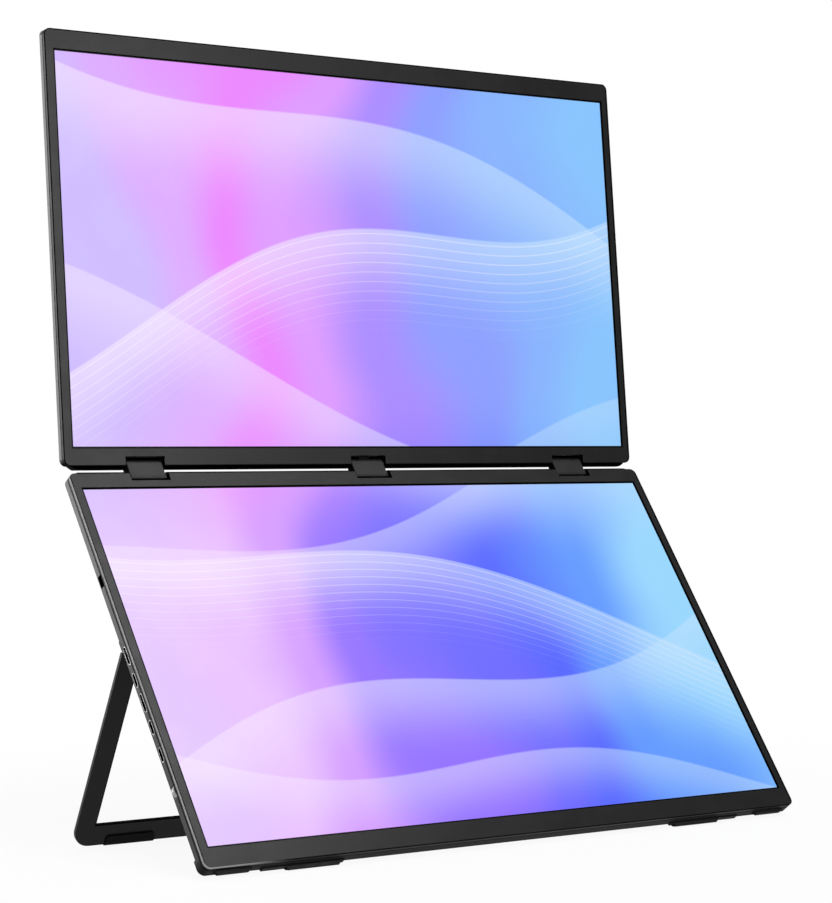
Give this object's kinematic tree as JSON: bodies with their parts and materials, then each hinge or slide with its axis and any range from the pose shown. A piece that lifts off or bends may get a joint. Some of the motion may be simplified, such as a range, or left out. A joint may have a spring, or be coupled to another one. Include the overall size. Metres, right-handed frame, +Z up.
{
  "type": "dual portable monitor",
  "caption": "Folding twin-screen portable monitor: two thin displays joined by pinned hinge links, the lower one held up by a U-shaped kickstand.",
  "frame": {"origin": "on the desk, under the centre of the opened product's bounding box", "axes": "+Z up, +X to the viewer's right, +Y away from the viewer; the screens face -Y"},
  "size_m": [0.4229, 0.1783, 0.4711],
  "materials": {
    "bezel_black": "matte, fine grain",
    "cover_grey": "anodised dark grey, satin",
    "display_glass": "matte display glass with its picture lit",
    "clear_plastic": "clear",
    "led_white": "white",
    "tray_steel": "zinc-plated sheet",
    "screw_steel": "black oxide",
    "ribbon_film": "amber film",
    "hinge_steel": "satin",
    "pin_steel": "ground",
    "link_dark": "anodised dark grey, satin",
    "circuit_board": "solder mask",
    "chip_epoxy": "moulded epoxy",
    "socket_steel": "nickel-plated",
    "tongue_plastic": "moulded",
    "dial_silver": "bright satin",
    "rubber_black": "matte rubber",
    "stand_metal": "powder-coated black"
  },
  "bodies": {
    "lower_panel": {"board_chips": "chip_epoxy", "foot_inner_left": "rubber_black", "foot_inner_right": "rubber_black", "foot_outer_left": "rubber_black", "foot_outer_right": "rubber_black", "jog_switch": "chip_epoxy", "kickstand_hinge_left": "hinge_steel", "kickstand_hinge_right": "hinge_steel", "light_pipes": "clear_plastic", "lower_back_cover": "cover_grey", "lower_backlight_tray": "tray_steel", "lower_cover_screws": "screw_steel", "lower_front_bezel": "bezel_black", "lower_hinge_bracket_left": "hinge_steel", "lower_hinge_bracket_middle": "hinge_steel", "lower_hinge_bracket_right": "hinge_steel", "lower_hinge_screws": "screw_steel", "lower_lcd_cell": "display_glass", "lower_led_strip": "led_white", "lower_light_guide": "clear_plastic", "lower_ribbon_cable": "ribbon_film", "main_board": "circuit_board", "mini_hdmi_socket_1": "socket_steel", "mini_hdmi_socket_2": "socket_steel", "socket_tongues": "tongue_plastic", "usb_c_socket_1": "socket_steel", "usb_c_socket_2": "socket_steel", "usb_c_socket_3": "socket_steel"},
    "hinge_links": {"friction_washers": "pin_steel", "hinge_link_left": "link_dark", "hinge_link_middle": "link_dark", "hinge_link_right": "link_dark", "link_ribbon_cable": "ribbon_film", "lower_hinge_pin_left": "pin_steel", "lower_hinge_pin_middle": "pin_steel", "lower_hinge_pin_right": "pin_steel", "upper_hinge_pin_left": "pin_steel", "upper_hinge_pin_middle": "pin_steel", "upper_hinge_pin_right": "pin_steel"},
    "upper_panel": {"upper_back_cover": "cover_grey", "upper_backlight_tray": "tray_steel", "upper_cover_screws": "screw_steel", "upper_driver_board": "circuit_board", "upper_front_bezel": "bezel_black", "upper_hinge_bracket_left": "hinge_steel", "upper_hinge_bracket_middle": "hinge_steel", "upper_hinge_bracket_right": "hinge_steel", "upper_hinge_screws": "screw_steel", "upper_lcd_cell": "display_glass", "upper_led_strip": "led_white", "upper_light_guide": "clear_plastic", "upper_ribbon_cable": "ribbon_film"},
    "kickstand": {"kickstand_frame": "stand_metal", "kickstand_pad_left": "rubber_black", "kickstand_pad_right": "rubber_black", "kickstand_pin_left": "pin_steel", "kickstand_pin_right": "pin_steel"},
    "jog_plunger": {"jog_carrier": "tongue_plastic"},
    "jog_wheel": {"jog_dial": "dial_silver"}
  },
  "joints": [
    {"name": "lower_fold", "type": "hinge", "parent": "lower_panel", "child": "hinge_links", "pos_m": [0, 0.0604, 0.21131], "axis": [1, 0, 0], "range_deg": [0, 90]},
    {"name": "upper_fold", "type": "hinge", "parent": "hinge_links", "child": "upper_panel", "pos_m": [0, 0.06529, 0.2182], "axis": [1, 0, 0], "range_deg": [-30.75, 59.25]},
    {"name": "kickstand_swing", "type": "hinge", "parent": "lower_panel", "child": "kickstand", "pos_m": [0, -0.00047, 0.11655], "axis": [1, 0, 0], "range_deg": [-63.47, 26.53]},
    {"name": "jog_press", "type": "slide", "parent": "lower_panel", "child": "jog_plunger", "axis": [1, 0, 0], "range_m": [0, 0.0005], "stiffness_N_per_m": 1500, "springref_m": -0.0004},
    {"name": "jog_turn", "type": "hinge", "parent": "jog_plunger", "child": "jog_wheel", "pos_m": [-0.20725, -0.05755, 0.04351], "axis": [0, -0.8152, 0.5791], "range_deg": [-15, 15], "stiffness_Nm_per_rad": 0.01}
  ]
}
